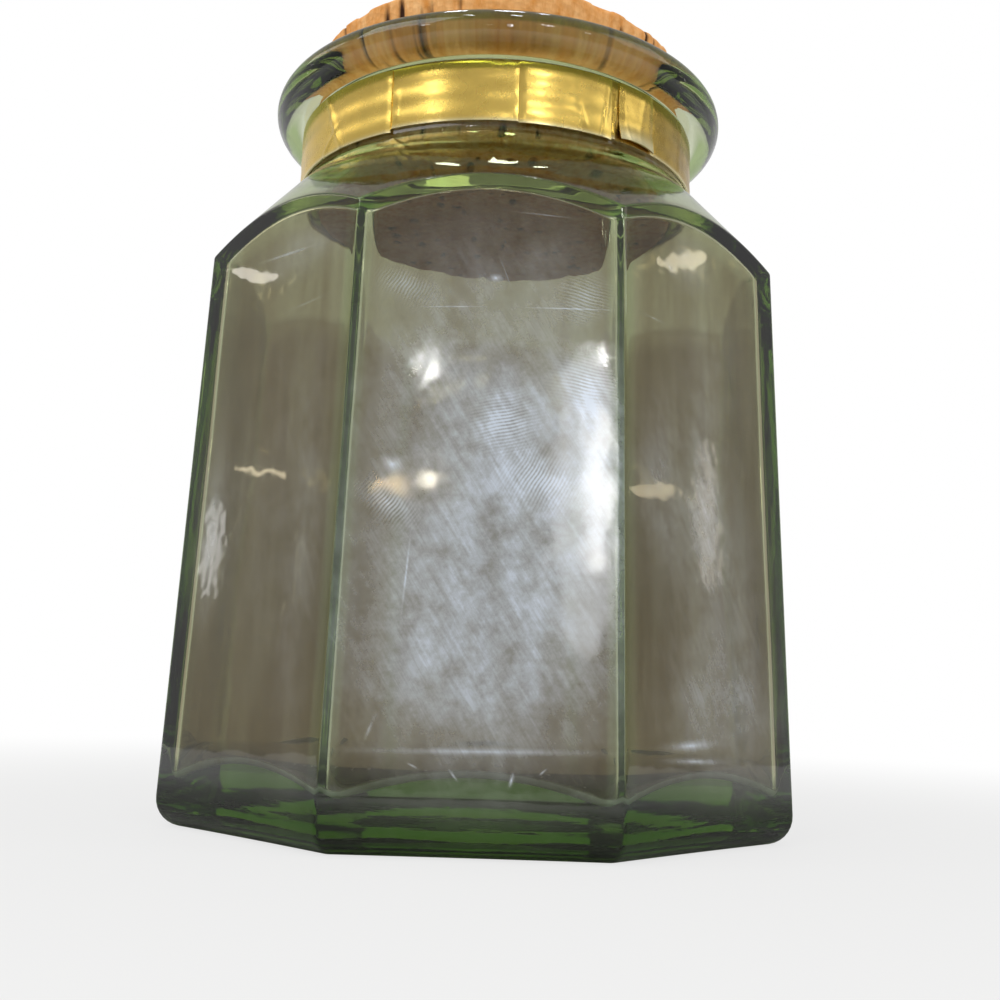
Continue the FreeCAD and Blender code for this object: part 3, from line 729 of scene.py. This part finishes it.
def glass_material(finish):
    """Pressed soda-lime glass: green through its depth, with a greasy film and fingerprints on its panels."""
    material, add = empty_material("soda_lime_glass_pressed")
    panel = add("Attribute", attribute_name="panel").outputs["Vector"]
    film, bloom_and_shade, edge, foot, dust, stipple = (
        add("Attribute", attribute_name=name).outputs["Fac"]
        for name in ("film", "bloom_and_shade", "edge", "foot", "dust", "stipple"))
    # Wiping leaves strokes about a millimetre wide and 12 mm long, and blots about 6 mm wide.
    wiped = add("Mapping", {
        "Vector": panel, "Rotation": (0, math.radians(58), 0), "Scale": (12 * MM, 1, 0.9 * MM)},
        vector_type="TEXTURE")
    strokes = add("TexNoise", {
        "Vector": wiped, "Scale": 1, "Detail": 7, "Roughness": 0.7, "Distortion": 0.15})
    blots = add("TexNoise", {"Vector": panel, "Scale": 1 / (6 * MM), "Detail": 8, "Roughness": 0.7})
    # A range is a value, its low and high ends, and what they become.
    stroke_share = add("MapRange", (strokes, 0.3, 0.7, 0.55, 1.0))
    blot_share = add("MapRange", (blots, 0.34, 0.6, 0.3, 1.0))
    shares = add("Math", (stroke_share, blot_share), operation="MULTIPLY")
    worn = add("MapRange", (shares, 0, 1, 0.3, 1))
    veil = add("Math", (film, worn), operation="MULTIPLY")
    # A mark is broken up by the strokes, and a fingerprint by the skin's ridges.
    for mark in MARKS + FINGERPRINTS:
        side, across, height, half_length, half_width, turn, strength = mark
        there = add("Mapping", {
            "Vector": panel, "Location": (across * MM, side * PANEL_STEP, height * MM),
            "Rotation": (0, math.radians(turn), 0),
            "Scale": (half_length * MM, PANEL_STEP / 4, half_width * MM)}, vector_type="TEXTURE")
        fade = add("TexGradient", {"Vector": there}, gradient_type="QUADRATIC_SPHERE").outputs["Fac"]
        broken = stroke_share
        if mark in FINGERPRINTS:
            broken = add("TexWave", {
                "Vector": there, "Scale": WAVE_LENGTH * half_length * MM / SKIN_RIDGE, "Distortion": 6,
                "Detail": 1, "Detail Scale": 0.25}, wave_type="BANDS", bands_direction="X").outputs["Fac"]
        touch = add("Math", (fade, broken), operation="MULTIPLY")
        veil = add("Math", (touch, strength, veil), operation="MULTIPLY_ADD")
    # Dust: grains up to half a millimetre wide in cells of 1.6 mm.
    grains = add("TexVoronoi", {"Vector": panel, "Scale": 1 / (1.6 * MM)})
    chance = add("MapRange", (grains.outputs["Color"], 0.55, 0.75, 0, 0.16))
    grain = add("Math", (chance, grains.outputs["Distance"]), operation="GREATER_THAN")
    dusty = add("Math", (grain, dust), operation="MULTIPLY")
    veil = add("Math", (veil, dusty), operation="ADD")
    veil = add("Clamp", {"Value": veil})
    # The bloom and its painted shade lie in upright drifts about 6 mm wide and 45 mm long.
    upright = add("Mapping", {"Vector": panel, "Scale": (6 * MM, 1, 45 * MM)}, vector_type="TEXTURE")
    drifts = add("TexNoise", {
        "Vector": upright, "Scale": 1, "Detail": 4, "Roughness": 0.6, "Distortion": 0.4})
    drift_share = add("MapRange", (drifts, 0.35, 0.65, 0.74, 1.05))
    uneven = add("Math", (bloom_and_shade, drift_share), operation="MULTIPLY")
    # Over the clean tint go the bloom with its painted shade, the painted green shade of the edges, and the
    # film.
    shade = finish.tint
    for share, over in ((uneven, finish.bloom_and_shade_colour), (edge, finish.edge_shade_colour),
                        (veil, finish.film_colour)):
        shade = add("Mix", {MIX_FACTOR: share, MIX_A: shade, MIX_B: over}, data_type="RGBA")
    clear = add("MapRange", (veil, 0, 1, 1, 0.05))
    rough = add("MapRange", (veil, 0, 1, 0.02, 0.09))
    # The mould leaves a ripple about 8 mm long, level streaks 1.5 mm apart round the foot, and stippling of
    # dots 2 mm apart on the foot ring.
    place = add("TexCoord").outputs["Object"]
    ripple = add("TexNoise", {"Vector": place, "Scale": 1 / (8 * MM), "Detail": 2})
    level = add("Mapping", {"Vector": place, "Scale": (14 * MM, 14 * MM, 1.5 * MM)}, vector_type="TEXTURE")
    streaks = add("TexNoise", {"Vector": level, "Scale": 1, "Detail": 3, "Roughness": 0.6})
    streaky = add("Math", (streaks, foot), operation="MULTIPLY")
    rippled = add("Math", (streaky, STREAK_HEIGHT, ripple), operation="MULTIPLY_ADD")
    dots = add("TexVoronoi", {"Vector": place, "Scale": 1 / (2 * MM), "Randomness": 0.4})
    raised = add("Math", (dots, stipple, rippled), operation="MULTIPLY_ADD")
    bump = add("Bump", {"Height": raised, "Strength": 0.45, "Distance": 0.08 * MM})
    surface = add("BsdfPrincipled", {
        "Base Color": shade, "Roughness": rough, "IOR": 1.52, "Transmission Weight": clear, "Normal": bump})
    depth = add("VolumeAbsorption", {"Color": finish.depth_colour, "Density": 48.0})
    add("OutputMaterial", {"Surface": surface, "Volume": depth})
    return material


def cork_material(finish):
    """Natural cork, cut from bark: warm tan grain of cells about a millimetre wide, dark pores, no gloss."""
    material, add = empty_material("natural_cork_cut")
    place = add("TexCoord").outputs["Object"]
    pore, under = (add("Attribute", attribute_name=name).outputs["Fac"] for name in ("pore", "cork_painted_light"))
    upright = add("Mapping", {"Vector": place, "Scale": (1, 1, 0.3)})
    grain = add("TexNoise", {"Vector": upright, "Scale": 1 / (2.2 * MM), "Detail": 7, "Roughness": 0.68})
    cells = add("TexVoronoi", {"Vector": place, "Scale": 1 / (1.0 * MM)})
    patches = add("TexNoise", {"Vector": place, "Scale": 1 / (9 * MM), "Detail": 3})
    grain_share = add("MapRange", (grain, 0.36, 0.66))
    patch_share = add("MapRange", (patches, 0.45, 0.75, 0, 0.45))
    # Painted light: the lower end and the side inside the neck take the paler colour.
    painted_light_share = add("Math", (under, grain_share), operation="MULTIPLY")
    pore_share = add("MapRange", (pore, 0.12, 0.5))
    shade = finish.dark
    for share, over in ((grain_share, finish.light), (patch_share, finish.dark),
                        (painted_light_share, finish.cork_painted_light), (pore_share, finish.pore)):
        shade = add("Mix", {MIX_FACTOR: share, MIX_A: shade, MIX_B: over}, data_type="RGBA")
    grit = add("Math", (cells, grain), operation="ADD")
    bump = add("Bump", {"Height": grit, "Strength": 0.6, "Distance": 0.25 * MM})
    surface = add("BsdfPrincipled", {
        "Base Color": shade, "Roughness": 0.86, "Specular IOR Level": 0.25, "Normal": bump})
    add("OutputMaterial", {"Surface": surface})
    return material


def foil_material(finish):
    """Aluminium foil under gold lacquer, rolled satin: a soft sheen, dull patches with painted shade, and a
    pale cut edge, which on the lifted patch is a painted highlight.
    """
    material, add = empty_material("gold_lacquered_foil")
    place = add("TexCoord").outputs["Object"]
    edge, painted_shade = (add("Attribute", attribute_name=name).outputs["Fac"]
                      for name in ("lower_edge", "painted_shade"))
    # Handling leaves dull blotches about 5 mm wide, and rolling a fine tooth of half a millimetre.
    dull = add("TexNoise", {"Vector": place, "Scale": 1 / (5 * MM), "Detail": 6, "Roughness": 0.65})
    speck = add("TexNoise", {"Vector": place, "Scale": 1 / (0.5 * MM), "Detail": 3})
    blotch = add("MapRange", (dull, 0.4, 0.75, -0.15, 0.25))
    # Each strip's painted shade, darkest on the strips to the right, adds to the dull blotches.
    dull_and_shade_share = add("Math", (blotch, painted_shade), operation="ADD", use_clamp=True)
    shade = finish.gold
    for share, over in ((dull_and_shade_share, finish.shade), (edge, finish.edge)):
        shade = add("Mix", {MIX_FACTOR: share, MIX_A: shade, MIX_B: over}, data_type="RGBA")
    rough = add("MapRange", (dull, 0.3, 0.75, 0.2, 0.34))
    bump = add("Bump", {"Height": speck, "Strength": 0.12, "Distance": 0.04 * MM})
    surface = add("BsdfPrincipled", {
        "Base Color": shade, "Metallic": 1.0, "Roughness": rough, "Normal": bump})
    add("OutputMaterial", {"Surface": surface})
    return material


def seen_share(add, path):
    """1 for rays that show the background: from the camera, off gloss or through glass."""
    shown = add("Math", (path["Is Camera Ray"], path["Is Glossy Ray"]), operation="MAXIMUM")
    return add("Math", (shown, path["Is Transmission Ray"]), operation="MAXIMUM")


# The board takes the light and the shadow out to the first distance, and is white from the second, which is
# nearer where it shows through glass. To the camera it is this much white even where it takes the shadow.
BOARD_NEAR, BOARD_FAR, BOARD_FAR_IN_GLASS = 75 * MM, 320 * MM, 140 * MM
BOARD_WHITE = 0.75


def floor_material(stage):
    """Matt white board: near the jar it takes the light and the shadow, and further out it fades to white."""
    material, add = empty_material("white_board_matt")
    place = add("TexCoord").outputs["Object"]
    path = add("LightPath").outputs
    away = add("VectorMath", (place,), operation="LENGTH").outputs["Value"]
    near = add("Math", (path["Is Camera Ray"], BOARD_WHITE), operation="MULTIPLY")
    reach = add("MapRange", (path["Is Transmission Ray"], 0, 1, BOARD_FAR, BOARD_FAR_IN_GLASS))
    far = add("MapRange", (away, BOARD_NEAR, reach, near, 1), interpolation_type="SMOOTHSTEP")
    white = add("Math", (far, seen_share(add, path)), operation="MULTIPLY")
    board = add("BsdfDiffuse", {"Color": stage.floor_colour})
    glow = add("Emission", {"Color": (1, 1, 1, 1), "Strength": 1.0})
    both = add("MixShader", (white, board, glow))
    add("OutputMaterial", {"Surface": both})
    return material


# Lamps: name, shape, azimuth from the front and height in degrees, distance, width and height in metres,
# brightness of the face, and colour. The softboxes light the jar, and the small ones glint in it. Those on
# the ceiling only glint.
LAMPS = (
    ("key_softbox", "RECTANGLE", -55, 48, 1.1, 0.7, 0.5, 2.2, "#FFFFFF"),
    ("fill_softbox", "RECTANGLE", 75, 35, 1.2, 0.6, 0.6, 1.0, "#FFFFFF"),
    ("left_lamp", "RECTANGLE", -36, 29, 1.3, 0.1, 0.07, 16.0, "#FFFFFF"),
    ("right_lamp", "RECTANGLE", 23, 29, 1.3, 0.13, 0.08, 20.0, "#FFFFFF"),
    ("far_right_lamp", "RECTANGLE", 42, 27, 1.3, 0.07, 0.05, 14.0, "#FFFFFF"),
    ("band_softbox", "RECTANGLE", -100, 36, 1.2, 0.5, 0.16, 1.8, "#FFF6E4"),
    ("front_window", "ELLIPSE", 5.2, 12.2, 1.25, 0.03, 0.19, 11.0, "#FFFFFF"),
    ("front_window_glow", "ELLIPSE", 4.6, 11.4, 1.26, 0.08, 0.36, 3.5, "#F4F7FF"),
    ("front_spark_left", "ELLIPSE", -4.1, 18.1, 1.25, 0.016, 0.03, 30.0, "#FFFFFF"),
    ("front_spark_low", "ELLIPSE", -3.8, 12.4, 1.25, 0.02, 0.02, 30.0, "#FFF6E0"),
    ("front_spark_right", "ELLIPSE", 5.3, 18.8, 1.25, 0.014, 0.025, 30.0, "#FFFFFF"),
    ("front_warm", "RECTANGLE", -5.7, 12.0, 1.25, 0.034, 0.014, 14.0, "#FFDFAF"),
    ("right_window", "ELLIPSE", 98.3, 9.6, 1.23, 0.022, 0.17, 1.6, "#FFF8EC"),
    ("right_cream", "ELLIPSE", 95.4, 11.0, 1.22, 0.055, 0.02, 3.0, "#FFEFC8"),
    ("right_high", "ELLIPSE", 97.5, 22.8, 1.23, 0.05, 0.02, 3.5, "#FFF3D2"),
    ("left_window", "ELLIPSE", -102.1, 6.7, 1.23, 0.014, 0.11, 2.2, "#FFFFFF"),
    ("left_glint", "RECTANGLE", -100.1, 11.0, 1.22, 0.05, 0.006, 5.0, "#FFEFC8"),
    ("left_high", "ELLIPSE", -101.6, 21.0, 1.24, 0.06, 0.014, 3.5, "#FFF8EC"),
    ("ceiling_front_left", "ELLIPSE", -24, 66, 1.3, 0.09, 0.05, 30.0, "#FFFFFF"),
    ("ceiling_front_right", "ELLIPSE", 14, 70, 1.3, 0.09, 0.05, 30.0, "#FFFFFF"),
    ("ceiling_back_left", "ELLIPSE", -160, 68, 1.3, 0.09, 0.06, 30.0, "#FFFFFF"),
    ("ceiling_back_middle", "ELLIPSE", 176, 74, 1.3, 0.12, 0.06, 30.0, "#FFFFFF"),
    ("ceiling_back_right", "ELLIPSE", 163, 69, 1.3, 0.06, 0.03, 30.0, "#FFFFFF"),
)
FLOOR_RINGS, FLOOR_COLUMNS = 12, 64
SENSOR_WIDTH = 36
# Light turns many corners inside thick glass before it leaves.
GLASS_BOUNCES = 12
# Where the white wall starts and is full, as the Y of a direction, and where the ceiling does, as its Z.
WALL_START, WALL_FULL = -0.1, 0.95
CEILING_START, CEILING_FULL = 0.12, 0.55
# How bright gloss shows the side that the camera stands on, and gloss and glass show the ceiling.
DIM_SIDE, DIM_CEILING = 0.35, 0.5
# Through glass the ceiling starts this much higher.
CEILING_RISE_IN_GLASS = 0.3


def build_stage(stage):
    """The pale floor, the lamps, the sky and the camera."""
    azimuths = np.linspace(0, 2 * math.pi, FLOOR_COLUMNS, endpoint=False)
    radius = np.linspace(0, stage.floor_radius, FLOOR_RINGS + 1)[1:, None] + 0 * azimuths
    points = turn_profile(np.stack((radius[::-1], 0 * radius), axis=-1), azimuths)
    last_ring = (FLOOR_RINGS - 1) * FLOOR_COLUMNS + np.arange(FLOOR_COLUMNS)
    faces = [grid_quads(FLOOR_RINGS, FLOOR_COLUMNS, wrap_columns=True),
             fan(FLOOR_RINGS * FLOOR_COLUMNS, last_ring)]
    floor = place_piece("floor", np.concatenate((points.reshape(-1, 3), np.zeros((1, 3)))), faces,
                        floor_material(stage))

    target = Vector((0, 0, GLASS_TOP / 2))
    for name, shape, azimuth, elevation, distance, width, height, brightness, hex_colour in LAMPS:
        data = bpy.data.lights.new(name, "AREA")
        data.shape, data.size, data.size_y = shape, width, height
        data.color = linear(hex_colour)[:3]
        data.energy = brightness * math.pi * width * height
        lamp = bpy.data.objects.new(name, data)
        turn, rise = math.radians(azimuth), math.radians(elevation)
        back = Vector((math.sin(turn) * math.cos(rise), -math.cos(turn) * math.cos(rise), math.sin(rise)))
        lamp.location = target + back * distance
        lamp.rotation_euler = (-back).to_track_quat("-Z", "Y").to_euler()
        lamp.visible_camera = False
        lamp.visible_diffuse = not name.startswith("ceiling")
        bpy.context.scene.collection.objects.link(lamp)

    world = bpy.data.worlds.new("white_studio")
    world.use_nodes = True
    world.node_tree.nodes.clear()
    add = partial(add_node, world.node_tree)
    # White round the horizon behind the jar, and dimmer overhead and in front, as in a studio with one white
    # wall. The camera sees white all round.
    place = add("TexCoord").outputs["Generated"]
    path = add("LightPath").outputs
    through = path["Is Transmission Ray"]
    towards = add("SeparateXYZ", (place,)).outputs
    dim = add("MapRange", (through, 0, 1, DIM_SIDE, 1))
    wall = add("MapRange", (towards["Y"], WALL_START, WALL_FULL, dim, 1), interpolation_type="SMOOTHSTEP")
    above = add("Math", (through, -CEILING_RISE_IN_GLASS, towards["Z"]), operation="MULTIPLY_ADD")
    ceiling = add("MapRange", (above, CEILING_START, CEILING_FULL, wall, DIM_CEILING),
                  interpolation_type="SMOOTHSTEP")
    level = add("MapRange", (seen_share(add, path), 0, 1, stage.sky_level, ceiling))
    white = add("Math", (level, path["Is Camera Ray"]), operation="MAXIMUM")
    sky = add("Background", {"Color": (1, 1, 1, 1), "Strength": white})
    add("OutputWorld", {"Surface": sky})

    data = bpy.data.cameras.new("camera")
    data.sensor_width = SENSOR_WIDTH
    data.lens = stage.focal_length
    data.clip_start = MM
    camera = bpy.data.objects.new("camera", data)
    camera.matrix_world = (
        Matrix.Translation(stage.camera_place)
        @ Matrix.Rotation(-stage.camera_yaw, 4, "Z")
        @ Matrix.Rotation(math.pi / 2 + stage.camera_pitch, 4, "X")
        @ Matrix.Rotation(stage.camera_roll, 4, "Z"))
    scene = bpy.context.scene
    scene.collection.objects.link(camera)
    scene.camera = camera
    scene.world = world
    scene.view_settings.view_transform = "Standard"
    scene.cycles.glossy_bounces = GLASS_BOUNCES


class CORK_JAR_OT_glass(bpy.types.Operator):
    """Builds the pressed glass jar, from the hollow under its foot to its rolled rim and its inside"""

    bl_idname = "cork_jar.glass"
    bl_label = "Glass jar"

    def execute(self, context):
        piece = build_glass(context.scene.jar_glass)
        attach(piece, "jar")
        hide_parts("glass_jar")
        return {"FINISHED"}


class CORK_JAR_OT_cork(bpy.types.Operator):
    """Builds the natural cork, with its pores and its chipped upper edge"""

    bl_idname = "cork_jar.cork"
    bl_label = "Cork"

    def execute(self, context):
        piece = build_cork(context.scene.jar_cork)
        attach(piece, "cork")
        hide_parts("cork_stopper")
        return {"FINISHED"}


class CORK_JAR_OT_foil(bpy.types.Operator):
    """Builds the gold foil strips and the patch round the neck"""

    bl_idname = "cork_jar.foil"
    bl_label = "Foil band"

    def execute(self, context):
        for strip in STRIPS:
            piece = build_strip(context.scene.jar_foil, context.scene.jar_glass, strip)
            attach(piece, "jar")
        return {"FINISHED"}


class CORK_JAR_OT_stage(bpy.types.Operator):
    """Sets the floor, the lamps, the sky and the camera"""

    bl_idname = "cork_jar.stage"
    bl_label = "Stage"

    def execute(self, context):
        build_stage(context.scene.jar_stage)
        return {"FINISHED"}


OPERATORS = (CORK_JAR_OT_glass, CORK_JAR_OT_cork, CORK_JAR_OT_foil, CORK_JAR_OT_stage)
SETTINGS = {"jar_glass": JarGlass, "jar_cork": JarCork, "jar_foil": JarFoil, "jar_stage": JarStage}


class CORK_JAR_PT_pieces(bpy.types.Panel):
    """Lists the jar's pieces and their settings"""

    bl_label = "Glass jar with cork"
    bl_space_type = "VIEW_3D"
    bl_region_type = "UI"
    bl_category = "Jar"

    def draw(self, context):
        for operator, settings in zip(OPERATORS, SETTINGS):
            self.layout.operator(operator.bl_idname)
            group = getattr(context.scene, settings)
            for name in group.__annotations__:
                self.layout.prop(group, name)


CLASSES = (*SETTINGS.values(), *OPERATORS, CORK_JAR_PT_pieces)


def register():
    """Register the classes, and give the scene their settings."""
    for item in CLASSES:
        bpy.utils.register_class(item)
    for name, group in SETTINGS.items():
        setattr(bpy.types.Scene, name, bpy.props.PointerProperty(type=group))


def unregister():
    """Take the settings from the scene again, and the classes from Blender."""
    for name in SETTINGS:
        delattr(bpy.types.Scene, name)
    for item in reversed(CLASSES):
        bpy.utils.unregister_class(item)


def main():
    """Build every piece and the stage."""
    register()
    bpy.ops.cork_jar.glass()
    bpy.ops.cork_jar.cork()
    bpy.ops.cork_jar.foil()
    bpy.ops.cork_jar.stage()


if __name__ == "__main__":
    main()
